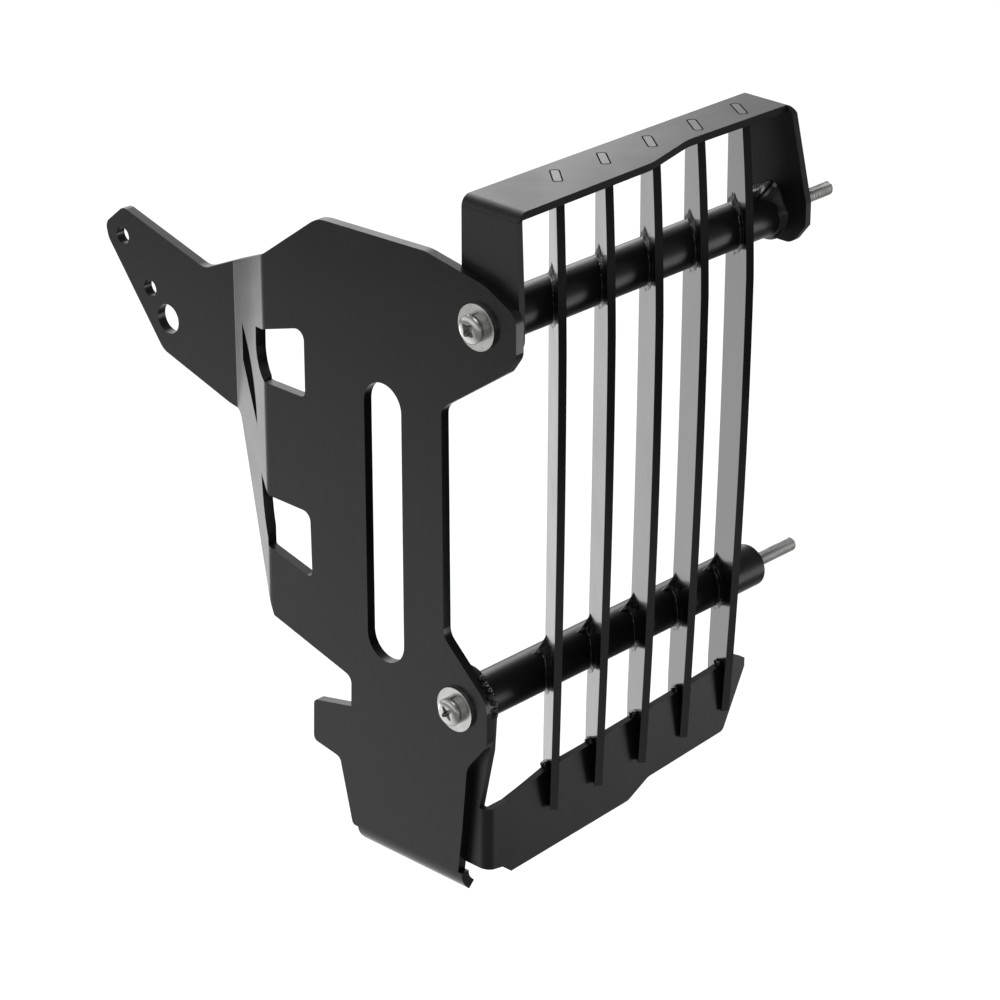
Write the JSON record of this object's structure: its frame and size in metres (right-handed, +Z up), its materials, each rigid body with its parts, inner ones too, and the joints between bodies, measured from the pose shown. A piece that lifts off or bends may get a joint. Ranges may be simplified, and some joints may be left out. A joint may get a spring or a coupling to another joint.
{
  "type": "motorcycle radiator guard",
  "caption": "Folded steel side plate with an ear, slot and windows, screwed to a welded grille of angled upright bars held by folded brackets and spacer tubes.",
  "frame": {"origin": "on the upper screw's axis, where its free thread begins, 1 mm outside the right-hand cheek of the top bracket", "axes": "+X along both screws, from the side plate to their free ends; +Y back, away from the grille's front edges; +Z up along the bars"},
  "size_m": [0.2073, 0.2436, 0.2867],
  "materials": {
    "side_plate": "satin black powder coat",
    "brackets": "satin black powder coat",
    "tubes": "satin black powder coat",
    "bars": "satin black powder coat",
    "screws": "bright zinc plate",
    "washers": "bright zinc plate"
  },
  "bodies": {
    "root": {"side_plate": "side_plate", "top_bracket": "brackets", "bottom_bracket": "brackets", "upper_tube": "tubes", "lower_tube": "tubes", "upper_bolt": "screws", "lower_bolt": "screws", "upper_flat_washer": "washers", "lower_flat_washer": "washers", "upper_spring_washer": "washers", "lower_spring_washer": "washers", "bar_1": "bars", "bar_2": "bars", "bar_3": "bars", "bar_4": "bars", "bar_5": "bars"}
  },
  "joints": []
}
